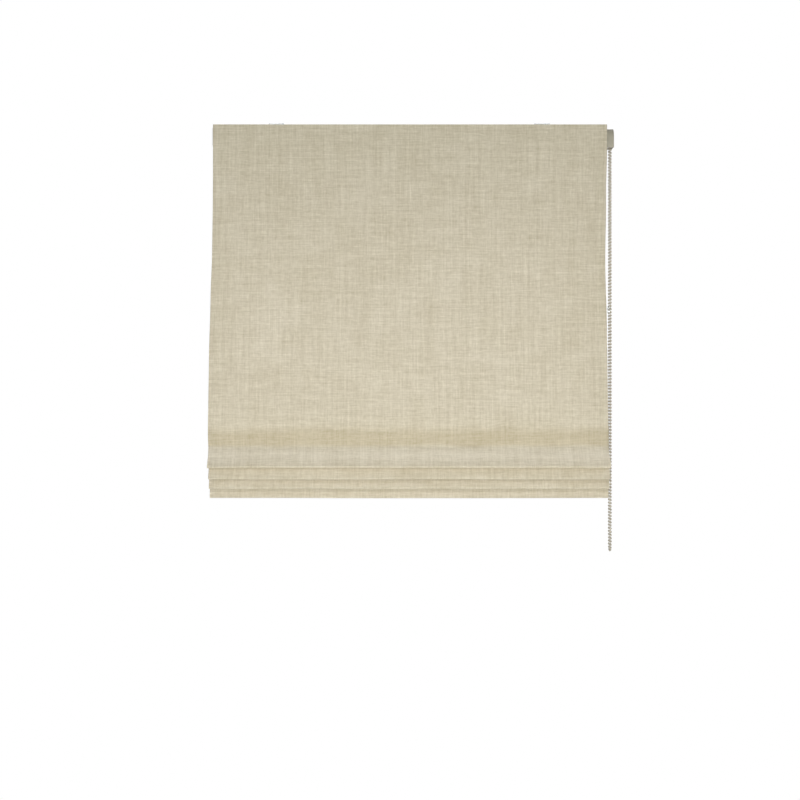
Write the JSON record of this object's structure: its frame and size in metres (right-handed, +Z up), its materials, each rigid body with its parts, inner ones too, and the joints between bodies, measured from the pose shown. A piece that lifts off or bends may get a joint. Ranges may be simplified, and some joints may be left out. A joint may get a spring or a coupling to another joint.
{
  "type": "roman blind",
  "caption": "Half raised roman blind of plain linen, gathered in soft folds above its hem, with a headrail, rods, lift cords on spools and a bead chain drive.",
  "frame": {"origin": "middle of the four fixing holes, in the plane of the ceiling or recess top that the brackets are screwed to", "axes": "+Z up, out of the fixing face; -Y towards the room; +X to the right as seen from the room"},
  "size_m": [0.7552, 0.1213, 0.8068],
  "materials": {
    "linen": "slubby plain weave, matt",
    "lining_cloth": "plain weave, matt",
    "tape": "hook and loop tape",
    "cord": "braided",
    "bar_aluminium": "mill finish",
    "rail_aluminium": "satin",
    "zinc_steel": "zinc plated",
    "white_moulding": "moulded, fine grain",
    "grey_moulding": "moulded",
    "rod_plastic": "drawn glass fibre",
    "ring_plastic": "moulded, glossy",
    "bead_plastic": "moulded, softly glossy",
    "clear_plastic": "clear moulding"
  },
  "bodies": {
    "headrail": {"headrail": "rail_aluminium", "end_cap": "white_moulding", "hook_tape": "tape", "loop_tape": "tape", "bracket_left": "zinc_steel", "bracket_right": "zinc_steel", "spool_cradle_left": "white_moulding", "spool_cradle_middle": "white_moulding", "spool_cradle_right": "white_moulding", "control_housing": "white_moulding", "control_cover": "white_moulding", "wrap_spring": "zinc_steel", "bead_chain": "bead_plastic", "chain_connector": "clear_plastic", "face_fabric": "linen", "lining": "lining_cloth", "lift_cord_left": "cord", "lift_cord_middle": "cord", "lift_cord_right": "cord"},
    "hem_bar": {"bottom_bar": "bar_aluminium", "bottom_bar_caps": "white_moulding"},
    "drive": {"drive_shaft": "rail_aluminium", "chain_wheel": "grey_moulding", "clutch_hub": "grey_moulding", "cord_spool_left": "white_moulding", "cord_spool_middle": "white_moulding", "cord_spool_right": "white_moulding"},
    "lever_left": {"bracket_lever_left": "white_moulding"},
    "lever_right": {"bracket_lever_right": "white_moulding"},
    "rod_1": {"rod_1": "rod_plastic", "rod_pocket_1": "lining_cloth", "cord_rings_1": "ring_plastic"},
    "rod_2": {"rod_2": "rod_plastic", "rod_pocket_2": "lining_cloth", "cord_rings_2": "ring_plastic"},
    "rod_3": {"rod_3": "rod_plastic", "rod_pocket_3": "lining_cloth", "cord_rings_3": "ring_plastic"},
    "rod_4": {"rod_4": "rod_plastic", "rod_pocket_4": "lining_cloth", "cord_rings_4": "ring_plastic"},
    "rod_5": {"rod_5": "rod_plastic", "rod_pocket_5": "lining_cloth", "cord_rings_5": "ring_plastic"},
    "rod_6": {"rod_6": "rod_plastic", "rod_pocket_6": "lining_cloth", "cord_rings_6": "ring_plastic", "cord_adjuster_left": "ring_plastic", "cord_adjuster_middle": "ring_plastic", "cord_adjuster_right": "ring_plastic"}
  },
  "joints": [
    {"name": "stack_lift", "type": "slide", "parent": "headrail", "child": "hem_bar", "axis": [0, 0, 1], "range_m": [-0.474, 0.43], "deforming": ["face_fabric", "lining", "lift_cord_left", "lift_cord_middle", "lift_cord_right"]},
    {"name": "rod_1_lift", "type": "slide", "parent": "headrail", "child": "rod_1", "axis": [0, 0, 1], "range_m": [-0.084, 0.0763]},
    {"name": "rod_2_lift", "type": "slide", "parent": "headrail", "child": "rod_2", "axis": [0, 0, 1], "range_m": [-0.2549, 0.2313]},
    {"name": "rod_3_lift", "type": "slide", "parent": "headrail", "child": "rod_3", "axis": [0, 0, 1], "range_m": [-0.4166, 0.378]},
    {"name": "rod_4_lift", "type": "slide", "parent": "headrail", "child": "rod_4", "axis": [0, 0, 1], "range_m": [-0.4285, 0.3888]},
    {"name": "rod_5_lift", "type": "slide", "parent": "headrail", "child": "rod_5", "axis": [0, 0, 1], "range_m": [-0.4393, 0.3986]},
    {"name": "rod_6_lift", "type": "slide", "parent": "headrail", "child": "rod_6", "axis": [0, 0, 1], "range_m": [-0.4488, 0.4072]},
    {"name": "drive_spin", "type": "hinge", "parent": "headrail", "child": "drive", "pos_m": [0, -0.0001, -0.025], "axis": [-1, 0, 0], "range_deg": [-3400, 3085], "deforming": ["bead_chain"]},
    {"name": "lever_left_turn", "type": "hinge", "parent": "headrail", "child": "lever_left", "pos_m": [-0.25, 0.022, -0.0076], "axis": [0, 0, 1], "range_deg": [0, 90]},
    {"name": "lever_right_turn", "type": "hinge", "parent": "headrail", "child": "lever_right", "pos_m": [0.25, 0.022, -0.0076], "axis": [0, 0, 1], "range_deg": [0, 90]}
  ],
  "couplings": [
    {"joint": "rod_1_lift", "follows": "stack_lift", "ratio": 0.17597},
    {"joint": "rod_2_lift", "follows": "stack_lift", "ratio": 0.5364},
    {"joint": "rod_3_lift", "follows": "stack_lift", "ratio": 0.87756},
    {"joint": "rod_4_lift", "follows": "stack_lift", "ratio": 0.90276},
    {"joint": "rod_5_lift", "follows": "stack_lift", "ratio": 0.92553},
    {"joint": "rod_6_lift", "follows": "stack_lift", "ratio": 0.94565},
    {"joint": "drive_spin", "follows": "stack_lift", "rad_per_m": 125}
  ]
}
